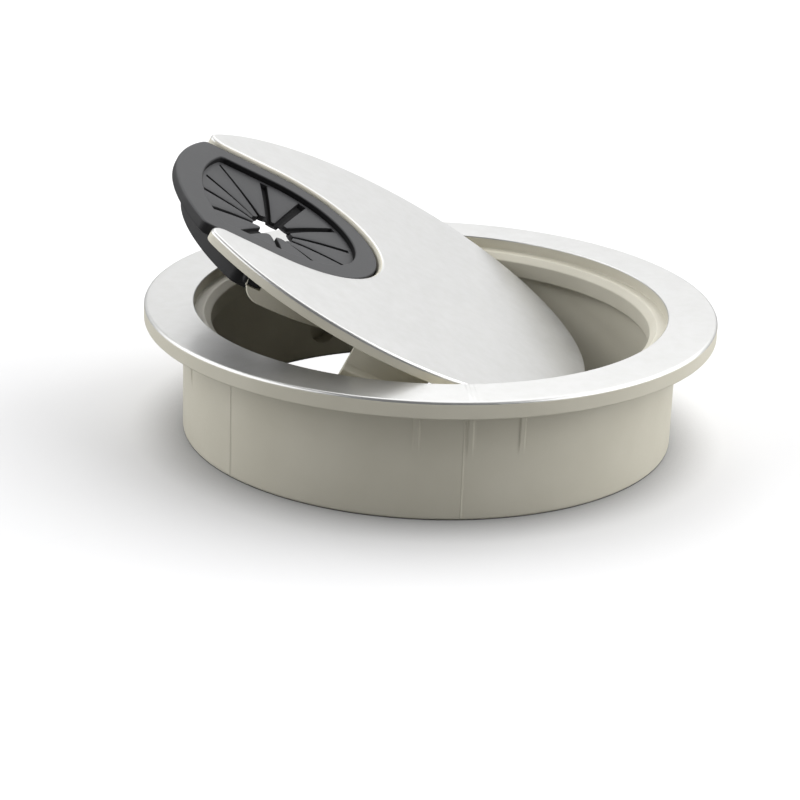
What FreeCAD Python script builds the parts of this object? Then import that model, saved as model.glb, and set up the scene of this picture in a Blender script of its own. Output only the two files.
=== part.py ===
# Desk cable grommet: a liner ring for an 80 mm desk hole, its loose round cover,
# and a soft insert in the cover's notch, cut into twelve flaps that let cables through.
#
# Frame: +Z up, origin at the centre of the flange's underside, which rests on the desk top.
# The cover stands tilted in the ring. It, the insert and the flaps are drawn lying flat,
# with the cover's top at z = 0 and its notch open towards -X, and are then placed together.

import FreeCAD, Part
import math
import os

import Sketcher

ORIGIN = -1
X_AXIS = -1
Y_AXIS = -2
START = 1
END = 2
CENTRE = 3

FULL_TURN = 360
HALF_TURN = 180
# a positive angle that keeps a rotation's axis as written until the sheet's angle takes its place
ANY_TURN = 10
TOLERANCE = 1e-4

DIMENSIONS = [
    # liner ring: radii from the axis, heights from the flange's underside
    ("tube_radius", 39.75),
    ("bore_below_lip", 37.2),
    ("bore_at_foot", 36.0),
    ("tube_depth", 18.4),
    ("flange_radius", 46.0),
    ("flange_height", 2.7),
    ("recess_radius", 38.1),
    ("ledge_height", 0.8),
    ("lip_radius", 35.3),
    ("lip_depth", 2.9),
    ("ledge_round", 1.0),
    ("flange_round", 0.5),
    # crush ribs outside the tube, three side by side in each group
    ("rib_groups", 4),
    ("rib_reach", 39.95),
    ("rib_root", 39.3),
    ("rib_half_width", 0.4),
    ("rib_depth", 8.4),
    ("rib_pitch", 11.5),
    ("rib_turn", 9.6),
    # two blind screw marks inside the tube
    ("mark_radius", 2.4),
    ("mark_floor", 39.2),
    ("mark_drop", 14.0),
    ("mark_turn", 120.5),
    # cover
    ("cover_radius", 37.6),
    ("cover_thickness", 1.8),
    ("cover_round", 0.4),
    ("notch_centre", 19.2),
    ("notch_radius", 18.75),
    ("notch_reach", 45.0),
    ("prong_round", 2.4),
    ("rail_outer", 24.8),
    ("rail_inner", 22.8),
    ("rail_end", 22.8),
    ("rail_depth", 6.7),
    ("rail_slot_end", 20.4),
    ("rail_slot_depth", 4.6),
    ("leg_count", 3),
    ("leg_inner", 32.2),
    ("leg_outer", 34.3),
    ("leg_tip", 33.7),
    ("leg_depth", 8.6),
    ("leg_span", 19.8),
    ("bead_reach", 35.4),
    ("bead_top", 5.7),
    ("bead_peak", 6.3),
    # soft insert
    ("plate_drop", 0.5),
    ("plate_thickness", 1.3),
    ("plate_radius", 18.4),
    ("plate_end", 36.6),
    ("plate_round", 0.6),
    ("base_drop", 1.9),
    ("base_depth", 6.0),
    ("base_radius", 22.5),
    ("base_end", 33.3),
    ("core_thickness", 2.5),
    ("shoulder_start", 23.1),
    ("shoulder_half_width", 23.2),
    ("lug_half_width", 24.6),
    ("lug_end", 20.7),
    ("lug_depth", 4.4),
    ("hollow_drop", 3.6),
    ("hollow_radius", 20.9),
    ("hollow_end", 31.7),
    ("aperture_radius", 14.5),
    ("aperture_end", 31.9),
    # flaps
    ("flap_count", 12),
    ("flap_thickness", 1.0),
    ("flap_drop", 1.6),
    ("flap_tip_radius", 3.7),
    ("flap_tip_sag", 2.2),
    ("flap_gap", 0.2),
    ("flap_slit", 0.5),
    ("flap_root_relief", 0.4),
    ("flap_root_round", 0.49),
    ("flap_turn", 5.0),
    # how the cover stands in the ring
    ("cover_shift_left", 7.97),
    ("cover_shift_back", 0.59),
    ("cover_lift", 9.01),
    ("cover_tilt", 26.64),
    ("cover_roll", 1.62),
    ("cover_turn", 7.25),
]

doc = FreeCAD.newDocument("DeskGrommet")
sheet = doc.addObject("Spreadsheet::Sheet", "Sheet")


def fill_sheet():
    """Write each driving dimension and its name into the sheet."""
    for row, (name, value) in enumerate(DIMENSIONS, start=1):
        sheet.set(f"A{row}", name)
        sheet.set(f"B{row}", str(value))
        sheet.setAlias(f"B{row}", name)
    doc.recompute()


def size(name):
    """The sheet's value for a name, or minus that value for a name written with a minus sign."""
    if name.startswith("-"):
        return -float(sheet.get(name[1:]))
    return float(sheet.get(name))


def formula(name):
    """The same value as an expression that follows the sheet."""
    if name.startswith("-"):
        return f"-Sheet.{name[1:]}"
    return f"Sheet.{name}"


# ---------------------------------------------------------------- sketch helpers


def new_body(label):
    body = doc.addObject("PartDesign::Body", label)
    body.Label = label
    return body


def origin_feature(body, role):
    for feature in body.Origin.OriginFeatures:
        if feature.Role == role:
            return feature
    raise ValueError(f"{body.Label} has no {role}")


def new_sketch(body, name, role, drop=None):
    """A sketch on one of the body's own planes, lowered by a sheet dimension if one is named."""
    sketch = body.newObject("Sketcher::SketchObject", name)
    sketch.AttachmentSupport = (origin_feature(body, role), [""])
    sketch.MapMode = "FlatFace"
    if drop:
        sketch.setExpression("AttachmentOffset.Base.z", formula("-" + drop))
    return sketch


def tie_coordinate(sketch, kind, element, point, name):
    """Hold one coordinate of a sketch point at a sheet dimension."""
    index = sketch.addConstraint(
        Sketcher.Constraint(kind, ORIGIN, START, element, point, size(name))
    )
    sketch.setExpression(f"Constraints[{index}]", formula(name))


def tie_radius(sketch, element, name):
    index = sketch.addConstraint(Sketcher.Constraint("Radius", element, size(name)))
    sketch.setExpression(f"Constraints[{index}]", formula(name))


def tie_point(sketch, element, point, x_name, y_name):
    """Hold a sketch point at two sheet dimensions, where None means on the axis."""
    if x_name:
        tie_coordinate(sketch, "DistanceX", element, point, x_name)
    else:
        sketch.addConstraint(Sketcher.Constraint("PointOnObject", element, point, Y_AXIS))
    if y_name:
        tie_coordinate(sketch, "DistanceY", element, point, y_name)
    else:
        sketch.addConstraint(Sketcher.Constraint("PointOnObject", element, point, X_AXIS))


def join_ends(sketch, elements):
    """Close a loop: each element's end meets the next one's start."""
    for first, second in zip(elements, elements[1:] + elements[:1]):
        sketch.addConstraint(Sketcher.Constraint("Coincident", first, END, second, START))


def join_ends_open(sketch, elements):
    """Join a chain of elements without closing it."""
    for first, second in zip(elements, elements[1:]):
        sketch.addConstraint(Sketcher.Constraint("Coincident", first, END, second, START))


def draw_polygon(sketch, corners):
    """A closed outline through corners given as pairs of sheet names."""
    points = [
        FreeCAD.Vector(size(x) if x else 0.0, size(y) if y else 0.0, 0) for x, y in corners
    ]
    lines = []
    for first, second in zip(points, points[1:] + points[:1]):
        lines.append(sketch.addGeometry(Part.LineSegment(first, second), False))
    join_ends(sketch, lines)
    for line, (x, y) in zip(lines, corners):
        tie_point(sketch, line, START, x, y)


def draw_circle(sketch, radius, x_name=None, y_name=None):
    centre = FreeCAD.Vector(
        size(x_name) if x_name else 0.0, size(y_name) if y_name else 0.0, 0
    )
    circle = sketch.addGeometry(
        Part.Circle(centre, FreeCAD.Vector(0, 0, 1), size(radius)), False
    )
    tie_radius(sketch, circle, radius)
    if x_name or y_name:
        tie_point(sketch, circle, CENTRE, x_name, y_name)
    else:
        sketch.addConstraint(Sketcher.Constraint("Coincident", circle, CENTRE, ORIGIN, START))


def arc(centre_x, radius, start, end):
    circle = Part.Circle(FreeCAD.Vector(centre_x, 0, 0), FreeCAD.Vector(0, 0, 1), radius)
    return Part.ArcOfCircle(circle, math.radians(start), math.radians(end))


def draw_round_nose(sketch, radius):
    """The half circle round the notch's centre that ends every U outline. Returns its index."""
    nose = sketch.addGeometry(arc(-size("notch_centre"), size(radius), -90, 90), False)
    tie_radius(sketch, nose, radius)
    tie_point(sketch, nose, CENTRE, "-notch_centre", None)
    return nose


def draw_u(sketch, radius, end_x):
    """A U outline: a half circle round the notch's centre, closed by a straight end."""
    half = size(radius)
    x_nose = -size("notch_centre")
    x_end = -size(end_x)
    nose = draw_round_nose(sketch, radius)
    corners = [(x_nose, half), (x_end, half), (x_end, -half), (x_nose, -half)]
    points = [FreeCAD.Vector(x, y, 0) for x, y in corners]
    sides = [
        sketch.addGeometry(Part.LineSegment(first, second), False)
        for first, second in zip(points, points[1:])
    ]
    sketch.addConstraint(Sketcher.Constraint("Tangent", nose, END, sides[0], START))
    sketch.addConstraint(Sketcher.Constraint("Tangent", sides[2], END, nose, START))
    join_ends_open(sketch, sides)
    sketch.addConstraint(Sketcher.Constraint("Horizontal", sides[0]))
    sketch.addConstraint(Sketcher.Constraint("Vertical", sides[1]))
    sketch.addConstraint(Sketcher.Constraint("Horizontal", sides[2]))
    tie_coordinate(sketch, "DistanceX", sides[1], START, "-" + end_x)


def draw_capped_u(sketch, radius, end_radius):
    """A U outline whose open end is an arc concentric with the cover."""
    half = size(radius)
    outer = size(end_radius)
    x_nose = -size("notch_centre")
    x_end = -math.sqrt(outer**2 - half**2)
    reach = math.degrees(math.asin(half / outer))
    nose = draw_round_nose(sketch, radius)
    upper = sketch.addGeometry(
        Part.LineSegment(FreeCAD.Vector(x_nose, half, 0), FreeCAD.Vector(x_end, half, 0)), False
    )
    cap = sketch.addGeometry(arc(0, outer, 180 - reach, 180 + reach), False)
    lower = sketch.addGeometry(
        Part.LineSegment(FreeCAD.Vector(x_end, -half, 0), FreeCAD.Vector(x_nose, -half, 0)), False
    )
    sketch.addConstraint(Sketcher.Constraint("Tangent", nose, END, upper, START))
    sketch.addConstraint(Sketcher.Constraint("Tangent", lower, END, nose, START))
    join_ends_open(sketch, [upper, cap, lower])
    sketch.addConstraint(Sketcher.Constraint("Horizontal", upper))
    sketch.addConstraint(Sketcher.Constraint("Horizontal", lower))
    sketch.addConstraint(Sketcher.Constraint("Coincident", cap, CENTRE, ORIGIN, START))
    tie_radius(sketch, cap, end_radius)


def draw_capped_strip(sketch, half_width, start_x, end_radius):
    """A strip from a straight start to an arc concentric with the cover."""
    half = size(half_width)
    outer = size(end_radius)
    x_start = -size(start_x)
    x_end = -math.sqrt(outer**2 - half**2)
    reach = math.degrees(math.asin(half / outer))
    upper = sketch.addGeometry(
        Part.LineSegment(FreeCAD.Vector(x_start, half, 0), FreeCAD.Vector(x_end, half, 0)), False
    )
    cap = sketch.addGeometry(arc(0, outer, 180 - reach, 180 + reach), False)
    lower = sketch.addGeometry(
        Part.LineSegment(FreeCAD.Vector(x_end, -half, 0), FreeCAD.Vector(x_start, -half, 0)), False
    )
    closing = sketch.addGeometry(
        Part.LineSegment(FreeCAD.Vector(x_start, -half, 0), FreeCAD.Vector(x_start, half, 0)), False
    )
    join_ends(sketch, [upper, cap, lower, closing])
    sketch.addConstraint(Sketcher.Constraint("Horizontal", upper))
    sketch.addConstraint(Sketcher.Constraint("Horizontal", lower))
    sketch.addConstraint(Sketcher.Constraint("Coincident", cap, CENTRE, ORIGIN, START))
    tie_radius(sketch, cap, end_radius)
    tie_point(sketch, upper, START, "-" + start_x, half_width)
    tie_point(sketch, closing, START, "-" + start_x, "-" + half_width)


# ---------------------------------------------------------------- feature helpers


def pad(body, name, sketch, length):
    """Extrude a sketch downwards by an expression."""
    feature = body.newObject("PartDesign::Pad", name)
    feature.Profile = sketch
    feature.Reversed = True
    feature.setExpression("Length", length)
    doc.recompute()
    return feature


def pocket(body, name, sketch, length):
    """Cut a sketch downwards by an expression and make sure that it cut something."""
    before = body.Shape.Volume
    feature = body.newObject("PartDesign::Pocket", name)
    feature.Profile = sketch
    feature.setExpression("Length", length)
    doc.recompute()
    if body.Shape.Volume > before - TOLERANCE:
        raise ValueError(f"{name} cuts nothing")
    return feature


def round_edges(body, name, radius, wanted):
    """Fillet the edges of the body's last feature that a test picks."""
    tip = body.Tip
    names = [f"Edge{i}" for i, edge in enumerate(tip.Shape.Edges, start=1) if wanted(edge)]
    if not names:
        raise ValueError(f"{name} finds no edge")
    feature = body.newObject("PartDesign::Fillet", name)
    feature.Base = (tip, names)
    feature.setExpression("Radius", formula(radius))
    doc.recompute()
    return feature


def circle_at(radius, height):
    """A test for full or part circles about the Z axis at a radius and height."""

    def test(edge):
        curve = edge.Curve
        return (
            isinstance(curve, Part.Circle)
            and abs(curve.Radius - radius) < TOLERANCE
            and abs(curve.Center.z - height) < TOLERANCE
            and math.hypot(curve.Center.x, curve.Center.y) < TOLERANCE
        )

    return test


# ---------------------------------------------------------------- the pieces


def make_liner_ring():
    """Flange, recess with its ledge, snap lip and tube, turned in one piece, with ribs outside."""
    body = new_body("liner_ring")
    section = new_sketch(body, "RingSection", "XZ_Plane")
    draw_polygon(
        section,
        [
            ("bore_at_foot", "-tube_depth"),
            ("tube_radius", "-tube_depth"),
            ("tube_radius", None),
            ("flange_radius", None),
            ("flange_radius", "flange_height"),
            ("recess_radius", "flange_height"),
            ("recess_radius", "ledge_height"),
            ("lip_radius", "ledge_height"),
            ("lip_radius", "-lip_depth"),
            ("bore_below_lip", "-lip_depth"),
        ],
    )
    turned = body.newObject("PartDesign::Revolution", "RingTurned")
    turned.Profile = section
    turned.ReferenceAxis = (section, ["V_Axis"])
    turned.Angle = FULL_TURN
    doc.recompute()
    round_edges(
        body, "FlangeRound", "flange_round", circle_at(size("flange_radius"), size("flange_height"))
    )
    round_edges(
        body, "LedgeRound", "ledge_round", circle_at(size("lip_radius"), size("ledge_height"))
    )
    add_ribs(body)
    add_screw_marks(body)
    return body


def add_ribs(body):
    """Three thin crush ribs side by side, repeated in groups round the tube."""
    ribs = []
    for place in (-1, 0, 1):
        sketch = new_sketch(body, f"RibSection{place + 2}", "XY_Plane")
        sketch.AttachmentOffset = FreeCAD.Placement(
            FreeCAD.Vector(0, 0, 0), FreeCAD.Rotation(FreeCAD.Vector(0, 0, 1), ANY_TURN)
        )
        sketch.setExpression(
            "AttachmentOffset.Rotation.Angle", f"Sheet.rib_turn + {place} * Sheet.rib_pitch"
        )
        draw_polygon(
            sketch,
            [
                ("rib_root", "-rib_half_width"),
                ("rib_reach", "-rib_half_width"),
                ("rib_reach", "rib_half_width"),
                ("rib_root", "rib_half_width"),
            ],
        )
        ribs.append(pad(body, f"Rib{place + 2}", sketch, formula("rib_depth")))
    repeat_about_z(body, "RibGroups", ribs, "rib_groups", FULL_TURN)


def repeat_about_z(body, name, originals, count, angle):
    """Repeat features about the body's Z axis and check that the copies counted."""
    before = body.Shape.Volume
    pattern = body.newObject("PartDesign::PolarPattern", name)
    pattern.Originals = originals
    pattern.Axis = (origin_feature(body, "Z_Axis"), [""])
    pattern.Angle = angle
    pattern.setExpression("Occurrences", formula(count))
    body.Tip = pattern
    doc.recompute()
    if abs(body.Shape.Volume - before) < TOLERANCE:
        raise ValueError(f"{name} changes nothing")
    return pattern


def add_screw_marks(body):
    """Two blind screw marks opposite each other in the tube's inner wall."""
    before = body.Shape.Volume
    sketch = new_sketch(body, "MarkCircle", "YZ_Plane")
    sketch.AttachmentOffset = FreeCAD.Placement(
        FreeCAD.Vector(0, 0, 0), FreeCAD.Rotation(FreeCAD.Vector(0, 1, 0), ANY_TURN)
    )
    sketch.setExpression("AttachmentOffset.Rotation.Angle", formula("mark_turn"))
    draw_circle(sketch, "mark_radius", None, "-mark_drop")
    marks = body.newObject("PartDesign::Pocket", "ScrewMarks")
    marks.Profile = sketch
    marks.Midplane = True
    marks.setExpression("Length", "2 * Sheet.mark_floor")
    doc.recompute()
    if body.Shape.Volume > before - TOLERANCE:
        raise ValueError("ScrewMarks cuts nothing")


def make_cover(placement):
    """A thin disc with a U notch, a rail under the notch's edge and three snap legs."""
    body = new_body("cover")
    disc = new_sketch(body, "DiscCircle", "XY_Plane")
    draw_circle(disc, "cover_radius")
    pad(body, "Disc", disc, formula("cover_thickness"))

    rail = new_sketch(body, "RailOutline", "XY_Plane")
    draw_u(rail, "rail_outer", "rail_end")
    pad(body, "Rail", rail, formula("rail_depth"))
    channel = new_sketch(body, "ChannelOutline", "XY_Plane", "cover_thickness")
    draw_u(channel, "rail_inner", "notch_reach")
    pocket(body, "Channel", channel, formula("rail_depth"))
    slot = new_sketch(body, "RailSlotOutline", "XY_Plane", "cover_thickness")
    draw_polygon(
        slot,
        [
            ("-notch_reach", "-notch_reach"),
            ("-rail_slot_end", "-notch_reach"),
            ("-rail_slot_end", "notch_reach"),
            ("-notch_reach", "notch_reach"),
        ],
    )
    pocket(body, "RailSlot", slot, "Sheet.rail_slot_depth - Sheet.cover_thickness")

    notch = new_sketch(body, "NotchOutline", "XY_Plane")
    draw_u(notch, "notch_radius", "notch_reach")
    pocket(body, "Notch", notch, formula("rail_depth"))

    round_edges(body, "ProngRound", "prong_round", prong_corner)
    round_edges(body, "TopRound", "cover_round", top_edge)
    add_snap_legs(body)
    body.Placement = placement
    return body


def prong_corner(edge):
    """A test for the upright edges where the notch's sides meet the disc's rim."""
    box = edge.BoundBox
    upright = box.DiagonalLength < box.ZLength + TOLERANCE
    at_rim = abs(math.hypot(box.XMin, box.YMin) - size("cover_radius")) < TOLERANCE
    return upright and at_rim


def top_edge(edge):
    """A test for edges in the plane of the disc's top."""
    return abs(edge.BoundBox.ZMin) < TOLERANCE


def add_snap_legs(body):
    """Legs with a snap bead, spread over the half of the cover that has no notch."""
    section = new_sketch(body, "LegSection", "YZ_Plane")
    draw_polygon(
        section,
        [
            ("-leg_inner", "-cover_round"),
            ("-leg_outer", "-cover_round"),
            ("-leg_outer", "-bead_top"),
            ("-bead_reach", "-bead_peak"),
            ("-leg_tip", "-leg_depth"),
            ("-leg_inner", "-leg_depth"),
        ],
    )
    leg = body.newObject("PartDesign::Revolution", "Leg")
    leg.Profile = section
    leg.ReferenceAxis = (section, ["V_Axis"])
    leg.Midplane = True
    leg.setExpression("Angle", formula("leg_span"))
    doc.recompute()
    repeat_about_z(body, "Legs", [leg], "leg_count", HALF_TURN)


def make_insert(placement):
    """The soft insert: a plate in the notch, a deeper hollow base under it and an aperture."""
    body = new_body("insert_body")
    base = new_sketch(body, "BaseOutline", "XY_Plane", "base_drop")
    draw_capped_u(base, "base_radius", "base_end")
    pad(body, "Base", base, "Sheet.base_depth - Sheet.base_drop")

    shoulder = new_sketch(body, "ShoulderOutline", "XY_Plane", "base_drop")
    draw_capped_strip(shoulder, "shoulder_half_width", "shoulder_start", "base_end")
    pad(body, "Shoulder", shoulder, "Sheet.base_depth - Sheet.base_drop")
    lug = new_sketch(body, "LugOutline", "XY_Plane", "base_drop")
    draw_capped_strip(lug, "lug_half_width", "lug_end", "base_end")
    pad(body, "Lugs", lug, "Sheet.lug_depth - Sheet.base_drop")

    core = new_sketch(body, "CoreOutline", "XY_Plane", "plate_drop")
    draw_capped_u(core, "plate_radius", "base_end")
    pad(body, "Core", core, formula("core_thickness"))
    plate = new_sketch(body, "PlateOutline", "XY_Plane", "plate_drop")
    draw_capped_u(plate, "plate_radius", "plate_end")
    pad(body, "Plate", plate, formula("plate_thickness"))

    hollow = new_sketch(body, "HollowOutline", "XY_Plane", "hollow_drop")
    draw_capped_u(hollow, "hollow_radius", "hollow_end")
    pocket(body, "Hollow", hollow, formula("base_depth"))
    aperture = new_sketch(body, "ApertureOutline", "XY_Plane")
    draw_capped_u(aperture, "aperture_radius", "aperture_end")
    pocket(body, "Aperture", aperture, formula("base_depth"))

    round_edges(
        body, "EndRound", "plate_round", circle_at(size("plate_end"), -size("plate_drop"))
    )
    body.Placement = placement
    return body


def aperture_point(angle):
    """Where a slit at an angle round the notch's centre meets the aperture's wall, less a gap."""
    side = size("aperture_radius") - size("flap_gap")
    end = size("aperture_end") - size("flap_gap")
    back = -size("notch_centre")
    cosine = math.cos(angle)
    sine = math.sin(angle)
    if cosine >= 0:
        distance = side
    else:
        half_turn = back * cosine
        to_end = -half_turn + math.sqrt(half_turn**2 + end**2 - back**2)
        distance = min(side / max(abs(sine), 1e-9), to_end)
    return FreeCAD.Vector(back + distance * cosine, distance * sine, 0)


def flap_frame(number):
    """A flap's own frame, the two ends of its root line, the notch's centre and the flap's reach.

    The frame's X runs along the root, its Y points at the notch's centre and dips with the
    flap, and its origin is on the hinge line, half a thickness inside the root's edge.
    """
    count = int(size("flap_count"))
    step = 2 * math.pi / count
    first_angle = math.radians(size("flap_turn")) + number * step
    first = aperture_point(first_angle)
    second = aperture_point(first_angle + step)
    middle = (first + second) * 0.5
    centre = FreeCAD.Vector(-size("notch_centre"), 0, 0)
    along = (first - second).normalize()
    inward = FreeCAD.Vector(-along.y, along.x, 0)
    if inward.dot(centre - middle) < 0:
        inward = inward * -1
        along = along * -1
    half = size("flap_thickness") / 2
    depth = -size("flap_drop") - half
    run = (centre - middle).dot(inward) - half
    dip = math.atan2(size("flap_tip_sag"), run)
    down = FreeCAD.Rotation(along, -math.degrees(dip))
    flap_y = down.multVec(inward)
    flap_z = along.cross(flap_y)
    rotation = FreeCAD.Rotation(along, flap_y, flap_z, "XYZ")
    base = middle + inward * half + FreeCAD.Vector(0, 0, depth)
    return FreeCAD.Placement(base, rotation), first, second, centre, run / math.cos(dip)


def flap_corners(number):
    """A flap's four corners in its own frame: two at the root and two at the tip."""
    frame, first, second, centre, reach = flap_frame(number)
    half = size("flap_thickness") / 2
    slit = size("flap_slit") / 2
    tip = size("flap_tip_radius")
    back = frame.inverse()
    apex = back.multVec(centre + FreeCAD.Vector(0, 0, frame.Base.z))
    roots = [back.multVec(point + FreeCAD.Vector(0, 0, frame.Base.z)) for point in (first, second)]
    roots.sort(key=lambda point: point.x)
    apex_point = FreeCAD.Vector(apex.x, reach, 0)
    corners = []
    for root, side in zip(roots, (1, -1)):
        outer = FreeCAD.Vector(root.x, -half, 0)
        edge = (apex_point - outer).normalize()
        shift = FreeCAD.Vector(edge.y, -edge.x, 0) * (slit * side)
        corners.append(outer + shift)
        corners.append(apex_point - edge * tip + shift)
    left_root, left_tip, right_root, right_tip = corners
    left_root.x += size("flap_root_relief")
    right_root.x -= size("flap_root_relief")
    left_root.y = -half
    right_root.y = -half
    return [left_root, right_root, right_tip, left_tip]


def make_flap(number, placement):
    """One rubber flap: a flat wedge with a half-round root at its hinge."""
    body = new_body(f"flap_{number + 1:02d}")
    outline = new_sketch(body, f"FlapOutline{number + 1}", "XY_Plane")
    outline.setExpression("AttachmentOffset.Base.z", "Sheet.flap_thickness / 2")
    corners = flap_corners(number)
    lines = []
    for first, second in zip(corners, corners[1:] + corners[:1]):
        lines.append(outline.addGeometry(Part.LineSegment(first, second), False))
    join_ends(outline, lines)
    for line, corner in zip(lines, corners):
        for kind, value in (("DistanceX", corner.x), ("DistanceY", corner.y)):
            outline.addConstraint(
                Sketcher.Constraint(kind, ORIGIN, START, line, START, value)
            )
    pad(body, f"Flap{number + 1}", outline, formula("flap_thickness"))
    frame = flap_frame(number)[0]
    root = -size("flap_thickness") / 2

    def root_edge(edge):
        box = edge.BoundBox
        return box.YMax < root + TOLERANCE and box.XLength > size("flap_thickness")

    round_edges(body, f"FlapRoot{number + 1}", "flap_root_round", root_edge)
    body.Placement = placement.multiply(frame)
    return body


def cover_placement():
    """The cover's tilted stand in the ring, from the sheet."""
    tilt = FreeCAD.Rotation(FreeCAD.Vector(0, 1, 0), size("cover_tilt"))
    roll = FreeCAD.Rotation(FreeCAD.Vector(1, 0, 0), size("cover_roll"))
    turn = FreeCAD.Rotation(FreeCAD.Vector(0, 0, 1), size("cover_turn"))
    base = FreeCAD.Vector(
        -size("cover_shift_left"), size("cover_shift_back"), size("cover_lift")
    )
    return FreeCAD.Placement(base, tilt.multiply(roll).multiply(turn))


def check_document(bodies):
    """Stop if any object failed or any piece isn't one valid solid."""
    for item in doc.Objects:
        if "Invalid" in item.State or "Error" in item.State:
            raise ValueError(f"{item.Label} failed: {item.State}")
    for body in bodies:
        shape = body.Shape
        if shape.isNull() or not shape.isValid() or len(shape.Solids) != 1:
            raise ValueError(f"{body.Label} isn't one valid solid")


def write_pieces(bodies):
    os.makedirs("parts", exist_ok=True)
    for body in bodies:
        body.Shape.exportStep(os.path.join("parts", f"{body.Label}.step"))


fill_sheet()
stand = cover_placement()
pieces = [make_liner_ring(), make_cover(stand), make_insert(stand)]
for flap_number in range(int(size("flap_count"))):
    pieces.append(make_flap(flap_number, stand))
doc.recompute()
check_document(pieces)
write_pieces(pieces)
for piece in pieces:
    print(f"{piece.Label}: {piece.Shape.Volume:.0f} mm3")
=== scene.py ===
"""Desk cable grommet: a silver liner ring, the loose cover leaning in it and the black rubber insert.

Lengths in this script are millimetres until make_piece turns them into metres. The cover, the insert
and the flaps are drawn lying flat, with the disc's top at z = 0 and its notch open towards -X, and then
stood up together.
"""

import math

import bmesh
import bpy
from mathutils import Matrix, Vector


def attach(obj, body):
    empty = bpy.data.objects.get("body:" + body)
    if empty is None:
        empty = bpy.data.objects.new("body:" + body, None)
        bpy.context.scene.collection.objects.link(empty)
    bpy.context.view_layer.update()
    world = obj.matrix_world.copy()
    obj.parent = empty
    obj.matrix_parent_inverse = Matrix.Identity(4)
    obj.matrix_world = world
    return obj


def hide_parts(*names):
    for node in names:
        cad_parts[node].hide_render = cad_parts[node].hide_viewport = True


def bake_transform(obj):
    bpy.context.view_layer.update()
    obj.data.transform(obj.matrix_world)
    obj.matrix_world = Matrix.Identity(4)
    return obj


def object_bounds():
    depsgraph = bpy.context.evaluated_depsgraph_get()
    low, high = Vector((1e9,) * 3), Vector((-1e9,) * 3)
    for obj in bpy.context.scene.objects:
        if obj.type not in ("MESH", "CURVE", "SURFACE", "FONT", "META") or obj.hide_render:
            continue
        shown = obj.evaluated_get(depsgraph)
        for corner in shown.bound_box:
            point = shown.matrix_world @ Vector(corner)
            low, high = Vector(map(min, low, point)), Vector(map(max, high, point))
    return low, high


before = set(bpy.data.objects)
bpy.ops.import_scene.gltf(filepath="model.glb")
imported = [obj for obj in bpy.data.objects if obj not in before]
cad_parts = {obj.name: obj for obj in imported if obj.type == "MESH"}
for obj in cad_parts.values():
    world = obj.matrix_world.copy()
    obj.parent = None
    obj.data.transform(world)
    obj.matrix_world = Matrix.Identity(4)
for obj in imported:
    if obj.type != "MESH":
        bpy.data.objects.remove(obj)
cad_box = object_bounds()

MM = 0.001

# ---------------------------------------------------------------- sizes of the object

FLANGE_RADIUS = 46.0
FLANGE_TOP = 2.7
FLANGE_PAINT_LEVEL = 2.25
RECESS_RADIUS = 38.1
LEDGE_TOP = 0.78
LIP_RADIUS = 35.3
LIP_BOTTOM = -2.9
TUBE_RADIUS = 39.75
TUBE_FOOT = -18.4
BORE_BELOW_LIP = 37.2
BORE_AT_FOOT = 36.0

RIB_GROUPS = 4
RIB_PITCH = 11.5
RIB_TURN = 9.6
RIB_HEIGHT = 0.22
RIB_HALF_ANGLE = 0.85
RIB_FADE_START = -5.5
RIB_FOOT = -8.6
MOULD_LINES = (221.2, 278.2)
MOULD_LINE_HEIGHT = 0.05
MOULD_LINE_HALF_ANGLE = 0.16
MARK_AZIMUTHS = (121.0, 301.0)
MARK_HEIGHT = -13.5
MARK_RADIUS = 2.5
MARK_CUT_START = 33.0
MARK_FLOOR = 39.2

COVER_ORIGIN = (-7.97, 0.59, 9.01)
COVER_TILT = 26.64
COVER_ROLL = 1.62
COVER_TURN = 7.25
DISC_RADIUS = 37.6
DISC_THICKNESS = 1.8
NOTCH_X = -19.2
NOTCH_RADIUS = 18.75
PRONG_ROUND = 2.4
RIM_ROUND = 0.45
NOTCH_ROUND = 0.7
LOW_ROUND = 0.15
RAIL_RADIUS = 23.8
RAIL_HALF = 1.0
RAIL_END_X = -22.8
RAIL_BOTTOM = -6.7
RAIL_CORNER = 3.0
RAIL_BEVEL = 0.25
RAIL_SLOT_X = -20.4
RAIL_SLOT_BOTTOM = -4.6
LEG_ANGLES = (0.0, 89.0, 271.0)
LEG_HALF_ANGLE = 10.6
NOTCH_PAINT_LEVEL = -0.14
RIM_PAINT_LEVEL = -0.5

PLATE_TOP = -0.5
SLIT_TURN = 5.0
FLAP_COUNT = 12
FLAP_TOP = -1.5
FLAP_FOOT = -2.7
FLAP_CENTRE_X = -18.4
FLAP_TIP = 3.5
FLAP_THICKNESS = 1.1
# each slit's width at the top, the width of the fine cut below, and how far each flap's tip hangs
SLIT_WIDTHS = (0.9, 1.1, 1.4, 1.2, 0.3, 0.7, 0.9, 1.1, 1.2, 0.8, 0.6, 0.6)
CUT_WIDTHS = (0.01, 0.01)
TIP_SAGS = (1.6, 1.4, 1.9, 1.5, 1.7, 1.5, 1.4, 1.3, 1.5, 1.4, 1.6, 1.5)
APERTURE_HALF = 14.2
APERTURE_END = 31.6
APERTURE_WALL = 14.5

# ---------------------------------------------------------------- mesh tools


def circle_point(radius, angle, centre=(0.0, 0.0)):
    """The point at an angle in degrees on a circle."""
    turn = math.radians(angle)
    return (centre[0] + radius * math.cos(turn), centre[1] + radius * math.sin(turn))


def arc_points(centre, radius, start, end, count):
    """count + 1 points along an arc, angles in degrees."""
    return [circle_point(radius, start + (end - start) * i / count, centre) for i in range(count + 1)]


def line_points(start, end, count):
    """Points that divide a line into count parts, without its two ends."""
    return [
        (
            start[0] + (end[0] - start[0]) * i / count,
            start[1] + (end[1] - start[1]) * i / count,
        )
        for i in range(1, count)
    ]


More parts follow.
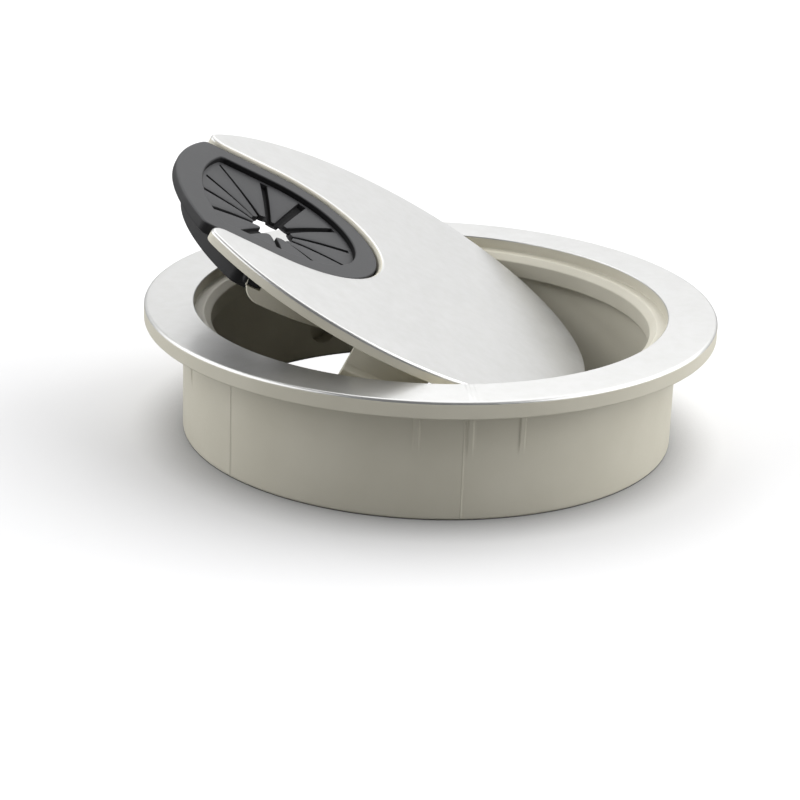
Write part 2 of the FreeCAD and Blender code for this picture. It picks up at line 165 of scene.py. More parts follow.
def rounded_section(corners, steps=5):
    """A closed outline from (x, y, radius) corners, each radius replaced by an arc."""
    outline = []
    total = len(corners)
    for i, (x, y, radius) in enumerate(corners):
        corner = Vector((x, y))
        before = Vector(corners[i - 1][:2]) - corner
        after = Vector(corners[(i + 1) % total][:2]) - corner
        if radius <= 0:
            outline.append((x, y))
            continue
        before.normalize()
        after.normalize()
        half = before.angle(after) / 2
        centre = corner + (before + after).normalized() * (radius / math.sin(half))
        first = corner + before * (radius / math.tan(half)) - centre
        last = corner + after * (radius / math.tan(half)) - centre
        turn = first.angle_signed(last)
        for step in range(steps + 1):
            point = first.copy()
            point.rotate(Matrix.Rotation(-turn * step / steps, 2))
            outline.append(tuple(centre + point))
    return outline


def skin(loops, wrap=False, cap=False):
    """Vertices and faces of a skin over loops of equal length, joined end to end or capped."""
    size = len(loops[0])
    vertices = [point for loop in loops for point in loop]
    faces = []
    spans = len(loops) if wrap else len(loops) - 1
    for i in range(spans):
        base = i * size
        following = ((i + 1) % len(loops)) * size
        for j in range(size):
            k = (j + 1) % size
            faces.append((base + j, base + k, following + k, following + j))
    if cap:
        faces.append(tuple(range(size)))
        faces.append(tuple(range(len(vertices) - size, len(vertices))))
    return vertices, faces


def make_piece(name, skins, body, material, place=Matrix.Identity(4), sharp=35.0):
    """A smooth-shaded mesh object in metres from some skins, riding on a body if one is named."""
    shape = bmesh.new()
    for vertices, faces in skins:
        made = [shape.verts.new(MM * (place @ Vector(point))) for point in vertices]
        for face in faces:
            shape.faces.new([made[i] for i in face])
    bmesh.ops.recalc_face_normals(shape, faces=shape.faces)
    big = [face for face in shape.faces if len(face.verts) > 4]
    bmesh.ops.triangulate(shape, faces=big)
    mesh = bpy.data.meshes.new(name)
    shape.to_mesh(mesh)
    shape.free()
    mesh.shade_smooth()
    mesh.set_sharp_from_angle(angle=math.radians(sharp))
    piece = bpy.data.objects.new(name, mesh)
    bpy.context.scene.collection.objects.link(piece)
    mesh.materials.append(material)
    weighted = piece.modifiers.new("even_normals", "WEIGHTED_NORMAL")
    weighted.keep_sharp = True
    if body:
        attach(piece, body)
    return piece


def bevel_edges(piece, width, segments=3):
    """Rounds a piece's hard edges."""
    bevel = piece.modifiers.new("rounded_edges", "BEVEL")
    bevel.width = width * MM
    bevel.segments = segments
    bevel.limit_method = "ANGLE"
    bevel.angle_limit = math.radians(40)
    piece.modifiers.move(len(piece.modifiers) - 1, 0)


def ramp(value, low, high):
    """A smooth step from 0 at low to 1 at high."""
    t = min(max((value - low) / (high - low), 0.0), 1.0)
    return t * t * (3 - 2 * t)


def ridge(distance, width, height):
    """A flat-topped ridge: full height in its middle half, sloping to nothing at width."""
    return height * ramp(width - abs(distance), 0.0, width / 2)


# ---------------------------------------------------------------- materials


class Nodes:
    """A short way to add and link shader nodes."""

    def __init__(self, name):
        self.material = bpy.data.materials.new(name)
        self.material.use_nodes = True
        self.tree = self.material.node_tree
        self.shader = self.tree.nodes["Principled BSDF"]

    def add(self, kind, **values):
        """A new node with some of its properties set."""
        node = self.tree.nodes.new(kind)
        for key, value in values.items():
            setattr(node, key, value)
        return node

    def link(self, source, target):
        """Joins an output to an input."""
        self.tree.links.new(source, target)

    def noise(self, scale, detail=2.0, roughness=0.5):
        """Noise in the object's own space, with scale in features per metre."""
        place = self.add("ShaderNodeTexCoord")
        texture = self.add("ShaderNodeTexNoise")
        texture.inputs["Scale"].default_value = scale
        texture.inputs["Detail"].default_value = detail
        texture.inputs["Roughness"].default_value = roughness
        self.link(place.outputs["Object"], texture.inputs["Vector"])
        return texture.outputs["Fac"]

    def remap(self, source, low, high, new_low, new_high):
        """A value taken from one range to another and held inside it."""
        node = self.add("ShaderNodeMapRange")
        node.inputs["From Min"].default_value = low
        node.inputs["From Max"].default_value = high
        node.inputs["To Min"].default_value = new_low
        node.inputs["To Max"].default_value = new_high
        self.link(source, node.inputs["Value"])
        return node.outputs["Result"]

    def blend(self, factor, first, second):
        """Mixes two colours, each an (r, g, b) value or another node's output."""
        node = self.add("ShaderNodeMix", data_type="RGBA")
        for socket, colour in ((node.inputs[6], first), (node.inputs[7], second)):
            if isinstance(colour, tuple):
                socket.default_value = (*colour, 1)
            else:
                self.link(colour, socket)
        self.link(factor, node.inputs[0])
        return node.outputs[2]

    def bump(self, height, strength, distance):
        """A normal roughened by a height, with distance in metres."""
        node = self.add("ShaderNodeBump")
        node.inputs["Strength"].default_value = strength
        node.inputs["Distance"].default_value = distance
        self.link(height, node.inputs["Height"])
        return node.outputs["Normal"]


def silver_paint():
    """Satin silver lacquer: pale and mostly metallic, faintly clouded where the spray went on unevenly."""
    nodes = Nodes("silver_paint")
    spray = nodes.noise(600, 2.0)
    clouds = nodes.noise(250, 3.0)
    tone = nodes.remap(spray, 0.3, 0.7, 0.0, 1.0)
    colour = nodes.blend(tone, (0.495, 0.495, 0.485), (0.52, 0.52, 0.515))
    nodes.link(colour, nodes.shader.inputs["Base Color"])
    nodes.link(nodes.remap(clouds, 0.3, 0.7, 0.28, 0.32), nodes.shader.inputs["Roughness"])
    nodes.shader.inputs["Metallic"].default_value = 0.8
    return nodes.material


def beige_plastic():
    """The bare moulded plastic of the sides and the underside: warm grey with a fine spark-eroded grain."""
    nodes = Nodes("beige_plastic")
    grain = nodes.noise(3000, 2.0)
    clouds = nodes.noise(90, 3.0)
    tone = nodes.remap(clouds, 0.3, 0.7, 0.0, 1.0)
    colour = nodes.blend(tone, (0.55, 0.525, 0.435), (0.59, 0.565, 0.475))
    nodes.link(colour, nodes.shader.inputs["Base Color"])
    nodes.link(nodes.remap(grain, 0.3, 0.7, 0.42, 0.55), nodes.shader.inputs["Roughness"])
    nodes.link(nodes.bump(grain, 0.1, 0.00003), nodes.shader.inputs["Normal"])
    return nodes.material


def black_rubber():
    """Soft matte black rubber, painted lighter with a mottle on the faces that look up and darker on its
    sides: painted light and shade.
    """
    nodes = Nodes("black_rubber")
    grain = nodes.noise(4200, 2.0)
    clouds = nodes.noise(160, 4.0)
    # painted light and shade: faces that look up get a lighter mottled grey, side faces a darker black,
    # chosen by the normal's height
    split = nodes.add("ShaderNodeSeparateXYZ")
    nodes.link(nodes.add("ShaderNodeTexCoord").outputs["Normal"], split.inputs["Vector"])
    upward = nodes.remap(split.outputs["Z"], 0.5, 0.85, 0.0, 1.0)
    mottle = nodes.remap(clouds, 0.3, 0.7, 0.0, 1.0)
    painted_top_light = nodes.blend(mottle, (0.035, 0.0355, 0.037), (0.052, 0.0525, 0.055))
    colour = nodes.blend(upward, (0.013, 0.013, 0.014), painted_top_light)
    nodes.link(colour, nodes.shader.inputs["Base Color"])
    nodes.link(nodes.remap(clouds, 0.3, 0.7, 0.5, 0.62), nodes.shader.inputs["Roughness"])
    nodes.link(nodes.bump(grain, 0.2, 0.00004), nodes.shader.inputs["Normal"])
    nodes.shader.inputs["Specular IOR Level"].default_value = 0.2
    return nodes.material


def shade_black_rubber():
    """The same rubber painted near black with little sheen: painted shade inside its slits, on the
    aperture's wall and on the base's top ledge.
    """
    nodes = Nodes("black_rubber_painted_shade")
    grain = nodes.noise(4200, 2.0)
    tone = nodes.remap(grain, 0.3, 0.7, 0.0, 1.0)
    # near-black colour painted where the slits, the aperture's wall and the base's ledge lie in shade
    colour = nodes.blend(tone, (0.006, 0.006, 0.006), (0.012, 0.012, 0.013))
    nodes.link(colour, nodes.shader.inputs["Base Color"])
    nodes.shader.inputs["Roughness"].default_value = 0.85
    nodes.shader.inputs["Specular IOR Level"].default_value = 0.15
    return nodes.material


def floor_white():
    """The pale floor: white to look at, dim in the light it throws back, with a painted contact shadow near
    the ring and a painted glow inside the ring that only the camera sees.
    """
    nodes = Nodes("floor_white")
    nodes.shader.inputs["Roughness"].default_value = 0.9
    nodes.shader.inputs["Specular IOR Level"].default_value = 0.0
    seen = nodes.add("ShaderNodeLightPath").outputs["Is Camera Ray"]
    tone = nodes.blend(seen, (0.30, 0.30, 0.30), (0.76, 0.76, 0.765))
    # painted shadow: an ambient-occlusion node darkens the floor's colour near the ring
    painted_contact_shadow = nodes.add("ShaderNodeAmbientOcclusion", samples=8)
    painted_contact_shadow.inputs["Distance"].default_value = 0.009
    nodes.link(tone, painted_contact_shadow.inputs["Color"])
    nodes.link(painted_contact_shadow.outputs["Color"], nodes.shader.inputs["Base Color"])
    # painted light: inside the ring's bore the floor glows white, to camera rays only
    flat = nodes.add("ShaderNodeVectorMath", operation="MULTIPLY")
    flat.inputs[1].default_value = (1, 1, 0)
    nodes.link(nodes.add("ShaderNodeNewGeometry").outputs["Position"], flat.inputs[0])
    reach = nodes.add("ShaderNodeVectorMath", operation="LENGTH")
    nodes.link(flat.outputs["Vector"], reach.inputs[0])
    inside = nodes.add("ShaderNodeMath", operation="LESS_THAN")
    inside.inputs[1].default_value = BORE_AT_FOOT * MM
    nodes.link(reach.outputs["Value"], inside.inputs[0])
    painted_glow = nodes.add("ShaderNodeMath", operation="MULTIPLY")
    nodes.link(inside.outputs["Value"], painted_glow.inputs[0])
    nodes.link(seen, painted_glow.inputs[1])
    nodes.shader.inputs["Emission Color"].default_value = (1, 1, 1, 1)
    nodes.link(painted_glow.outputs["Value"], nodes.shader.inputs["Emission Strength"])
    return nodes.material


# ---------------------------------------------------------------- liner ring


def ring_section():
    """The ring's turned section as (radius, z), with extra points down the outside of the tube."""
    corners = [
        (BORE_AT_FOOT, TUBE_FOOT, 0.3),
        (TUBE_RADIUS, TUBE_FOOT, 0.35),
        (TUBE_RADIUS, 0.0, 0.3),
        (FLANGE_RADIUS, 0.0, 0.25),
        (FLANGE_RADIUS, FLANGE_TOP, 0.55),
        (RECESS_RADIUS, FLANGE_TOP, 0.22),
        (RECESS_RADIUS, LEDGE_TOP, 0.15),
        (LIP_RADIUS + 1.1, LEDGE_TOP, 0.4),
        (LIP_RADIUS, LEDGE_TOP - 0.95, 0.4),
        (LIP_RADIUS, LIP_BOTTOM, 0.3),
        (BORE_BELOW_LIP, LIP_BOTTOM, 0.3),
    ]
    outline = rounded_section(corners)
    section = []
    for i, point in enumerate(outline):
        section.append(point)
        following = outline[(i + 1) % len(outline)]
        long_wall = abs(following[1] - point[1]) > 5 and point[0] > LIP_RADIUS + 3
        if long_wall:
            section.extend(line_points(point, following, 36))
    return section


def rib_angles():
    """The azimuths of all the crush ribs."""
    return [
        RIB_TURN + 360 / RIB_GROUPS * group + RIB_PITCH * place
        for group in range(RIB_GROUPS)
        for place in (-1, 0, 1)
    ]


def ring_azimuths():
    """Stations round the ring: one a degree, and close ones at every rib and mould line."""
    azimuths = {float(i) for i in range(360)}
    for centre, half in [(a, RIB_HALF_ANGLE) for a in rib_angles()] + [
        (a, MOULD_LINE_HALF_ANGLE) for a in MOULD_LINES
    ]:
        for step in range(-8, 9):
            azimuths.add(round((centre + half * step / 8) % 360, 4))
    ordered = sorted(azimuths)
    return [a for a, b in zip(ordered, ordered[1:] + [ordered[0] + 360]) if b - a > 0.015]


def wall_bump(azimuth, z):
    """How far the tube's outside stands out at an azimuth and height, for ribs and mould lines."""
    out = 0.0
    fade = ramp(z, RIB_FOOT, RIB_FADE_START)
    for centre in rib_angles():
        turn = (azimuth - centre + 180) % 360 - 180
        out += ridge(turn, RIB_HALF_ANGLE, RIB_HEIGHT * fade)
    for centre in MOULD_LINES:
        turn = (azimuth - centre + 180) % 360 - 180
        out += ridge(turn, MOULD_LINE_HALF_ANGLE, MOULD_LINE_HEIGHT)
    return out


def cut_mark(piece, azimuth):
    """Sinks a blind round mark into the tube's inner wall."""
    direction = Vector((*circle_point(1.0, azimuth), 0))
    length = MARK_FLOOR - MARK_CUT_START
    centre = direction * (MARK_CUT_START + length / 2) + Vector((0, 0, MARK_HEIGHT))
    turn = direction.to_track_quat("Z", "Y").to_matrix().to_4x4()
    cutter_shape = bmesh.new()
    bmesh.ops.create_cone(
        cutter_shape, cap_ends=True, segments=48, radius1=MARK_RADIUS * MM, radius2=MARK_RADIUS * MM,
        depth=length * MM, matrix=Matrix.Translation(centre * MM) @ turn,
    )
    mesh = bpy.data.meshes.new("mark_cutter")
    cutter_shape.to_mesh(mesh)
    cutter_shape.free()
    cutter = bpy.data.objects.new("mark_cutter", mesh)
    bpy.context.scene.collection.objects.link(cutter)
    cut = piece.modifiers.new("mark", "BOOLEAN")
    cut.operation = "DIFFERENCE"
    cut.object = cutter
    piece.modifiers.move(len(piece.modifiers) - 1, 0)
    bpy.context.view_layer.objects.active = piece
    bpy.ops.object.modifier_apply(modifier="mark")
    bpy.data.objects.remove(cutter)


def make_ring(plastic, paint):
    """The liner ring: its section turned round, with ribs, mould lines and marks, painted on top."""
    section = ring_section()
    loops = []
    for azimuth in ring_azimuths():
        loop = []
        for radius, z in section:
            outside = z < 0 and TUBE_RADIUS - 0.01 < radius < TUBE_RADIUS + 0.02
            reach = radius + (wall_bump(azimuth, z) if outside else 0.0)
            loop.append((*circle_point(reach, azimuth), z))
        loops.append(loop)
    piece = make_piece("ring_moulding", [skin(loops, wrap=True)], "liner", plastic)
    for azimuth in MARK_AZIMUTHS:
        cut_mark(piece, azimuth)
    paint_top(piece, paint, lambda x, y: FLANGE_PAINT_LEVEL, Matrix.Identity(4))
    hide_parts("liner_ring")
    return piece


def paint_top(piece, paint, level, place):
    """Gives the paint to the faces above a level, a function of x and y in the piece's own flat frame."""
    mesh = piece.data
    mesh.materials.append(paint)
    back = place.inverted()
    for face in mesh.polygons:
        centre = back @ (face.center / MM)
        if centre.z > level(centre.x, centre.y):
            face.material_index = 1


# ---------------------------------------------------------------- cover


def stand_up():
    """The shared frame of the cover, the insert and the flaps."""
    tilt = Matrix.Rotation(math.radians(COVER_TILT), 4, "Y")
    roll = Matrix.Rotation(math.radians(COVER_ROLL), 4, "X")
    turn = Matrix.Rotation(math.radians(COVER_TURN), 4, "Z")
    return Matrix.Translation(COVER_ORIGIN) @ tilt @ roll @ turn


def disc_outline():
    """The notched disc's outline as (point, outward direction, share of the notch) going round once."""
    rounding = PRONG_ROUND
    centre_y = NOTCH_RADIUS + rounding
    centre_x = -math.sqrt((DISC_RADIUS - rounding) ** 2 - centre_y**2)
    lean = math.degrees(math.atan2(centre_y, centre_x))
    upper = []
    for step in range(17):
        share = step / 16
        direction = circle_point(1.0, lean + (270 - lean) * share)
        point = (centre_x + rounding * direction[0], centre_y + rounding * direction[1])
        upper.append((point, direction, share))
    for point in line_points((centre_x, NOTCH_RADIUS), (NOTCH_X, NOTCH_RADIUS), 8):
        upper.append((point, (0.0, -1.0), 1.0))
    nose = []
    for step in range(73):
        direction = circle_point(1.0, 90 - 2.5 * step)
        point = (NOTCH_X + NOTCH_RADIUS * direction[0], NOTCH_RADIUS * direction[1])
        nose.append((point, (-direction[0], -direction[1]), 1.0))
    lower = [((x, -y), (u, -v), share) for (x, y), (u, v), share in reversed(upper)]
    rim = []
    for step in range(1, 200):
        direction = circle_point(1.0, -lean + 2 * lean * step / 200)
        rim.append(((DISC_RADIUS * direction[0], DISC_RADIUS * direction[1]), direction, 0.0))
    return upper + nose + lower + rim


def disc_loops():
    """Loops down the disc's edge, which is rounder along the notch than round the rim."""
    outline = disc_outline()
    steps = 6
    loops = []
    for step in range(steps + 1):
        angle = math.pi / 2 * step / steps
        loop = []
        for (x, y), (u, v), share in outline:
            radius = RIM_ROUND + (NOTCH_ROUND - RIM_ROUND) * share
            inset = radius * (1 - math.sin(angle))
            loop.append((x - u * inset, y - v * inset, -radius * (1 - math.cos(angle))))
        loops.append(loop)
    for step in range(steps + 1):
        angle = math.pi / 2 * step / steps
        inset = LOW_ROUND * (1 - math.cos(angle))
        z = -DISC_THICKNESS + LOW_ROUND * (1 - math.sin(angle))
        loops.append([(x - u * inset, y - v * inset, z) for (x, y), (u, v), share in outline])
    return loops


def disc_paint_level(x, y):
    """The paint wraps over the rim's edge, but stops where the notch's edge begins to turn down."""
    along_notch = math.hypot(max(x - NOTCH_X, 0.0), y) < NOTCH_RADIUS + NOTCH_ROUND + 0.1
    return NOTCH_PAINT_LEVEL if along_notch else RIM_PAINT_LEVEL


def make_disc(plastic, paint, place):
    """The cover's notched disc, painted on top."""
    piece = make_piece("cover_disc", [skin(disc_loops(), cap=True)], "cover", plastic, place)
    paint_top(piece, paint, disc_paint_level, place)
    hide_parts("cover")
    return piece


def rail_stations():
    """(point, outward direction, distance from the nearer end, whether slotted) along the rail."""
    stations = []
    run = NOTCH_X - RAIL_END_X
    straight = [RAIL_END_X + run * i / 16 for i in range(16)]
    slot_edges = [RAIL_SLOT_X - 0.01, RAIL_SLOT_X + 0.01]
    xs = sorted(straight + slot_edges)
    for x in xs:
        stations.append(((x, RAIL_RADIUS), (0.0, 1.0), x - RAIL_END_X, x < RAIL_SLOT_X))
    for step in range(73):
        angle = 90 - 180 * step / 72
        direction = circle_point(1.0, angle)
        point = circle_point(RAIL_RADIUS, angle, (NOTCH_X, 0))
        stations.append((point, direction, run, False))
    for x in reversed(xs):
        stations.append(((x, -RAIL_RADIUS), (0.0, -1.0), x - RAIL_END_X, x < RAIL_SLOT_X))
    return stations


def make_rail(plastic, place):
    """The U wall under the notch's edge, with rounded ends and the slots that take the insert's lugs."""
    loops = []
    for point, direction, distance, in_slot in rail_stations():
        rise = 0.0
        if distance < RAIL_CORNER:
            rise = RAIL_CORNER - math.sqrt(RAIL_CORNER**2 - (RAIL_CORNER - distance) ** 2)
        bottom = RAIL_BOTTOM + rise
        top = RAIL_SLOT_BOTTOM if in_slot else -DISC_THICKNESS + 0.1
        section = [
            (-RAIL_HALF, top),
            (-RAIL_HALF, bottom + RAIL_BEVEL),
            (-RAIL_HALF + RAIL_BEVEL, bottom),
            (RAIL_HALF - RAIL_BEVEL, bottom),
            (RAIL_HALF, bottom + RAIL_BEVEL),
            (RAIL_HALF, top),
        ]
        loops.append(
            [(point[0] + direction[0] * out, point[1] + direction[1] * out, z) for out, z in section]
        )
    piece = make_piece("cover_rail", [skin(loops, cap=True)], "cover", plastic, place)
    return piece


def make_leg(number, angle, plastic, place):
    """One snap leg: a curved tongue with a bead that snaps under the ring's lip."""
    section = rounded_section(
        [
            (32.4, -DISC_THICKNESS + 0.1, 0),
            (34.3, -DISC_THICKNESS + 0.1, 0),
            (34.3, -5.6, 0.2),
            (35.35, -6.35, 0.3),
            (33.75, -8.6, 0.35),
            (32.4, -8.6, 0.3),
        ]
    )
    loops = []
    steps = 12
    for step in range(steps + 1):
        azimuth = angle - LEG_HALF_ANGLE + 2 * LEG_HALF_ANGLE * step / steps
        loops.append([(*circle_point(radius, azimuth), z) for radius, z in section])
    piece = make_piece(f"cover_leg_{number}", [skin(loops, cap=True)], "cover", plastic, place)
    bevel_edges(piece, 0.15, 2)
    return piece


def make_cover(plastic, paint, place):
    """All of the cover: its disc, its rail and its three legs."""
    make_disc(plastic, paint, place)
    make_rail(plastic, place)
    for number, angle in enumerate(LEG_ANGLES, start=1):
        make_leg(number, angle, plastic, place)


# ---------------------------------------------------------------- insert


def insert_loop(half, end, z, corner):
    """A closed U: a nose round the notch's centre and an end arc round the disc's centre."""
    corner_y = half - corner
    corner_x = -math.sqrt((end - corner) ** 2 - corner_y**2)
    lean = math.degrees(math.atan2(corner_y, corner_x))
    nose = arc_points((NOTCH_X, 0), half, -90, 90, 60)
    side = line_points((NOTCH_X, half), (corner_x, half), 6)
    upper = arc_points((corner_x, corner_y), corner, 90, lean, 8)
    cap = arc_points((0, 0), end, lean, 360 - lean, 40)[1:-1]
    lower = [(x, -y) for x, y in reversed(upper)]
    side_back = [(x, -y) for x, y in reversed(side)]
    return [(x, y, z) for x, y in nose + side + upper + cap + lower + side_back]


def make_plate(rubber, shade_rubber, place):
    """The visible plate: rounded at its outer end, stepped down to the flaps inside."""
    # half width, reach of the outer end from the disc's centre, height, corner radius
    section = [
        (18.30, 35.90, -2.30, 1.4),
        (18.38, 36.30, -2.25, 1.4),
        (18.40, 36.55, -2.10, 1.5),
        (18.40, 36.60, -1.80, 1.5),
        (18.40, 36.60, -0.95, 1.5),
        (18.36, 36.50, -0.68, 1.5),
        (18.25, 36.30, -0.55, 1.4),
        (18.10, 36.05, PLATE_TOP, 1.4),
        (14.85, 32.25, PLATE_TOP, 1.3),
        (14.68, 32.08, -0.53, 1.2),
        (14.55, 31.95, -0.62, 1.1),
        (APERTURE_WALL, 31.90, -0.75, 1.1),
        (APERTURE_WALL, 31.90, FLAP_TOP, 1.1),
        (13.90, 31.30, FLAP_TOP - 0.08, 0.9),
        (13.80, 31.20, FLAP_FOOT, 0.9),
        (14.60, 32.00, FLAP_FOOT - 0.05, 1.1),
        (14.65, 32.05, -2.30, 1.1),
    ]
    loops = [insert_loop(half, end, z, corner) for half, end, z, corner in section]
    piece = make_piece("insert_plate", [skin(loops, wrap=True)], "insert", rubber, place)
    piece.data.materials.append(shade_rubber)
    # the aperture's wall gets the near-black rubber: painted shade
    size = len(loops[0])
    wall = [half for half, end, z, corner in section].index(APERTURE_WALL)
    for face in piece.data.polygons[wall * size : (wall + 1) * size]:
        face.material_index = 1
    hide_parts("insert_body")
    return piece


def make_base(rubber, shade_rubber, place):
    """The hollow base under the plate, which slides along the cover's rail."""
    # half width, reach of the outer end from the disc's centre, height, corner radius
    section = [
        (14.50, 31.6, -2.00, 1.6),
        (22.20, 33.0, -1.95, 1.6),
        (22.45, 33.25, -2.10, 1.6),
        (22.50, 33.3, -2.40, 1.6),
        (22.50, 33.3, -5.60, 1.6),
        (22.40, 33.2, -5.85, 1.6),
        (22.15, 32.95, -6.00, 1.5),
        (21.25, 32.05, -6.00, 1.4),
        (21.00, 31.8, -5.85, 1.4),
        (20.90, 31.7, -5.60, 1.4),
        (20.90, 31.7, -3.70, 1.4),
        (14.50, 31.6, -3.60, 1.6),
    ]
    loops = [insert_loop(half, end, z, corner) for half, end, z, corner in section]
    piece = make_piece("insert_base", [skin(loops, wrap=True)], "insert", rubber, place)
    # the base's top ledge under the plate gets the near-black rubber: painted shade
    piece.data.materials.append(shade_rubber)
    for face in piece.data.polygons[: len(loops[0])]:
        face.material_index = 1
    return piece


def block(low, high):
    """A box skin between two corners."""
    loops = []
    for z in (low[2], high[2]):
        near = [(low[0], low[1], z), (high[0], low[1], z)]
        far = [(high[0], high[1], z), (low[0], high[1], z)]
        loops.append(near + far)
    return skin(loops, cap=True)


def make_lugs(rubber, place):
    """The lug on each side of the base, which fills the slot at the end of the rail."""
    for name, side in (("left", 1), ("right", -1)):
        edges = sorted((side * 21.5, side * 24.6))
        skins = [block((-23.4, edges[0], -4.45), (-20.75, edges[1], -1.95))]
        piece = make_piece(f"insert_lug_{name}", skins, "insert", rubber, place)
        bevel_edges(piece, 0.25, 3)


# ---------------------------------------------------------------- flaps


def root_distance(angle):
    """How far the aperture's wall is from the notch's centre, in the direction of an angle."""
    turn = math.radians(angle)
    cosine = math.cos(turn)
    sine = math.sin(turn)
    if cosine >= 0:
        return APERTURE_HALF
    along = NOTCH_X * cosine
    to_end = -along + math.sqrt(along**2 + APERTURE_END**2 - NOTCH_X**2)
    to_side = APERTURE_HALF / max(abs(sine), 1e-6)
    corner_power = 18
    return (to_end**-corner_power + to_side**-corner_power) ** (-1 / corner_power)


def slit_root(angle):
    """Where a line from the notch's centre meets the aperture's wall."""
    return Vector(circle_point(root_distance(angle), angle, (NOTCH_X, 0)))


def flap_surface(number, across, along, gaps):
    """A point of a flap's top: across from 0 to 1 between its gaps, along from root to tip."""
    centre = Vector((FLAP_CENTRE_X, 0.0))
    step = 360 / FLAP_COUNT
    first = SLIT_TURN + step * number
    edge = 2 * across - 1
    root = slit_root(first + step * across)
    tip = centre + (root - centre).normalized() * (FLAP_TIP + 0.3 * edge * edge)
    before = (slit_root(first) - centre).normalized().orthogonal()
    after = (slit_root(first + step) - centre).normalized().orthogonal()
    x, y = root.lerp(tip, along) + before * (gaps[0] / 2 * (1 - across)) - after * (gaps[1] / 2 * across)
    crown = 0.12 * (1 - edge * edge) * math.sin(math.pi * along)
    z = FLAP_TOP - TIP_SAGS[number] * (0.75 * along + 0.25 * along**3) + crown
    return Vector((x, y, z))


def flap_section(number, along, columns=10):
    """A closed section across a flap: its slits are moulded wide above and cut fine below."""
    thickness = FLAP_THICKNESS - 0.2 * along
    shelf = 0.7 * thickness
    rounding = 0.1
    wide = (SLIT_WIDTHS[number], SLIT_WIDTHS[(number + 1) % FLAP_COUNT])
    top = [flap_surface(number, column / columns, along, wide) for column in range(columns + 1)]
    foot = [flap_surface(number, column / columns, along, CUT_WIDTHS) for column in range(columns + 1)]
    down = Vector((0, 0, -1))
    section = [top[0] + down * shelf, top[0] + down * rounding * 2]
    section.append(top[0].lerp(top[1], 0.12) + down * rounding / 2)
    section.extend(top[1:-1])
    section.append(top[-1].lerp(top[-2], 0.12) + down * rounding / 2)
    section.extend([top[-1] + down * rounding * 2, top[-1] + down * shelf])
    section.append(foot[-1] + down * (shelf + 0.05))
    section.extend(point + down * thickness for point in reversed(foot))
    section.append(foot[0] + down * (shelf + 0.05))
    return [tuple(point) for point in section]


def make_flap(number, rubber, shade_rubber, place):
    """One flap, thinner towards its tip, drawn sagging down from the insert's edge."""
    rows = 18
    loops = [flap_section(number, row / rows) for row in range(rows + 1)]
    name = f"flap_{number + 1:02d}"
    piece = make_piece(f"{name}_rubber", [skin(loops, cap=True)], None, rubber, place, sharp=50)
    piece.data.materials.append(shade_rubber)
    size = len(loops[0])
    # the walls and shelves inside the slits get the near-black rubber: painted shade
    shaded_slit_strips = {0, size // 2 - 1, size // 2, size // 2 + 1, size - 2, size - 1}
    for face in piece.data.polygons[: rows * size]:
        if face.index % size in shaded_slit_strips:
            face.material_index = 1
    start = place @ flap_surface(number, 0.5, 0.04, CUT_WIDTHS) * MM
    end = place @ flap_surface(number, 0.5, 0.4, CUT_WIDTHS) * MM
    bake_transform(piece)
    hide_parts(name)
    return piece


# ---------------------------------------------------------------- studio


CAMERA_PLACE = (0.0, -367.83, 124.13)
CAMERA_TARGET = (-4.406, 0.0, -14.48)
CAMERA_LENS = 108.08
CAMERA_ROLL = 2.11


def aim(place, target, roll=0.0):
    """A matrix in metres at place that looks at target, both in millimetres, rolled by degrees."""
    forward = (Vector(target) - Vector(place)).normalized()
    right = forward.cross(Vector((0, 0, 1))).normalized()
    up = right.cross(forward)
    turn = math.radians(roll)
    rolled_right = math.cos(turn) * right + math.sin(turn) * up
    rolled_up = math.cos(turn) * up - math.sin(turn) * right
    matrix = Matrix((rolled_right, rolled_up, -forward)).transposed().to_4x4()
    return Matrix.Translation(Vector(place) * MM) @ matrix


def make_camera():
    """A long lens a little above the ring."""
    data = bpy.data.cameras.new("camera")
    data.sensor_width = 36
    data.lens = CAMERA_LENS
    data.clip_start = 0.01
    data.clip_end = 50
    camera = bpy.data.objects.new("camera", data)
    camera.matrix_world = aim(CAMERA_PLACE, CAMERA_TARGET, CAMERA_ROLL)
    bpy.context.scene.collection.objects.link(camera)
    bpy.context.scene.camera = camera


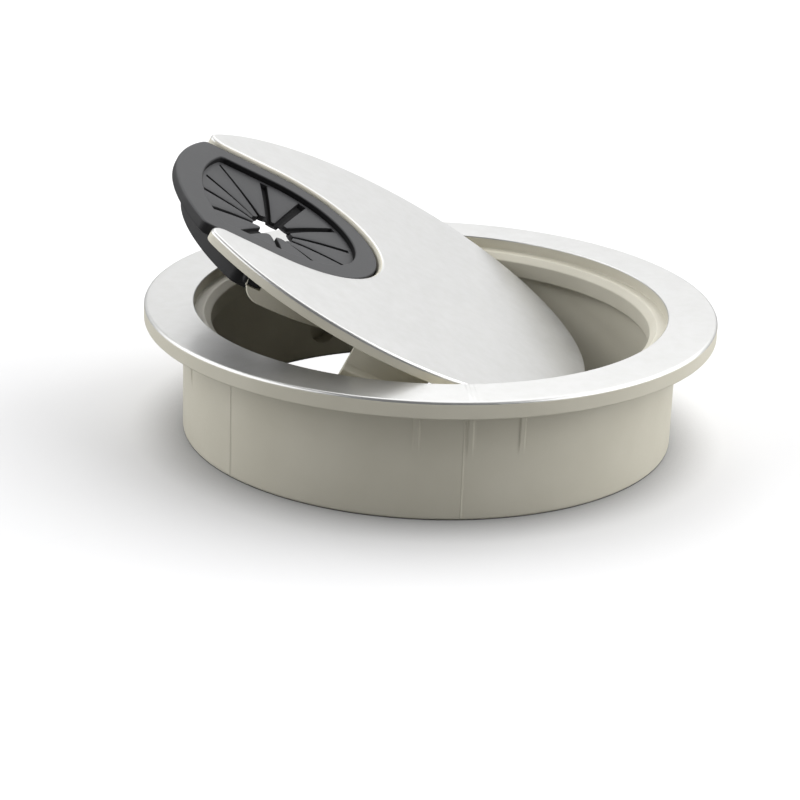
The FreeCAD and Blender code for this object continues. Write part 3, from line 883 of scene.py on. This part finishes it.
def softbox(name, place, width, height, radiance):
    """A rectangular area light of an even radiance that looks at the object."""
    data = bpy.data.lights.new(name, "AREA")
    data.shape = "RECTANGLE"
    data.size = width * MM
    data.size_y = height * MM
    data.energy = radiance * math.pi * data.size * data.size_y
    light = bpy.data.objects.new(name, data)
    light.matrix_world = aim(place, (0, 0, 0))
    bpy.context.scene.collection.objects.link(light)


def make_floor():
    """A wide floor a hair under the ring's foot."""
    reach = 6000 * MM
    level = cad_box[0][2] - 0.02 * MM
    near = [(-reach, -reach, level), (reach, -reach, level)]
    far = [(reach, reach, level), (-reach, reach, level)]
    mesh = bpy.data.meshes.new("floor")
    mesh.from_pydata(near + far, [], [(0, 1, 2, 3)])
    floor = bpy.data.objects.new("floor", mesh)
    bpy.context.scene.collection.objects.link(floor)
    mesh.materials.append(floor_white())


def make_studio():
    """The floor, a faint even air and five soft boxes: above, behind, at both sides and in front."""
    make_floor()
    world = bpy.data.worlds.new("studio_air")
    world.use_nodes = True
    backdrop = world.node_tree.nodes["Background"]
    backdrop.inputs["Color"].default_value = (0.97, 0.98, 1.0, 1)
    backdrop.inputs["Strength"].default_value = 0.12
    bpy.context.scene.world = world
    softbox("top_softbox", (250, 600, 1000), 1450, 1450, 1.65)
    softbox("back_softbox", (0, 1300, 700), 3000, 1400, 0.97)
    softbox("left_softbox", (-750, 0, 400), 1300, 900, 2.4)
    softbox("right_softbox", (750, 0, 400), 1300, 900, 3.0)
    softbox("front_softbox", (0, -1200, 700), 1600, 700, 0.08)
    bpy.context.scene.view_settings.view_transform = "Standard"


# ---------------------------------------------------------------- build


paint_coat = silver_paint()
bare_plastic = beige_plastic()
soft_rubber = black_rubber()
slit_shade_rubber = shade_black_rubber()
cover_place = stand_up()
make_camera()
make_studio()
make_ring(bare_plastic, paint_coat)
make_cover(bare_plastic, paint_coat, cover_place)
make_plate(soft_rubber, slit_shade_rubber, cover_place)
make_base(soft_rubber, slit_shade_rubber, cover_place)
make_lugs(soft_rubber, cover_place)
for flap_number in range(FLAP_COUNT):
    make_flap(flap_number, soft_rubber, slit_shade_rubber, cover_place)
